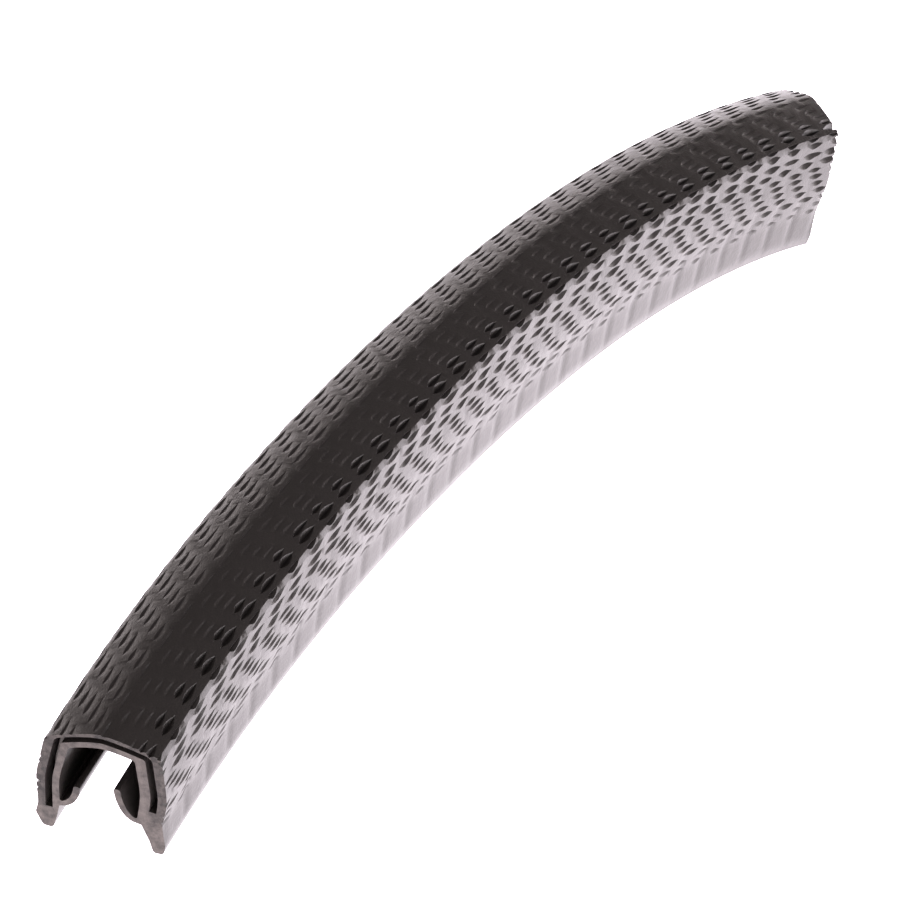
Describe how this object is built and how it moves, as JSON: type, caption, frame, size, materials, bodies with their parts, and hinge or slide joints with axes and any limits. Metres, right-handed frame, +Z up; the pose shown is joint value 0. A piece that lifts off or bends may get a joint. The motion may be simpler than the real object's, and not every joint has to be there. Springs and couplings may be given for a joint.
{
  "type": "edge trim seal",
  "caption": "Short bent piece of black embossed U-shaped edge trim that clamps onto a panel edge, with inner gripping fins and a stamped steel strip inside its wall.",
  "frame": {"origin": "middle of the strip's bounding box, on the floor that its feet stand on", "axes": "+X along the strip from the near cut end to the far one, +Z up from the feet to the crown, +Y towards the left leg as seen from the near end"},
  "size_m": [0.1234, 0.0168, 0.0203],
  "materials": {
    "cover": "black soft PVC, satin, embossed with rows of short grooves",
    "core": "dull stamped steel"
  },
  "bodies": {
    "root": {"pvc_cover": "cover", "steel_core": "core"}
  },
  "joints": []
}
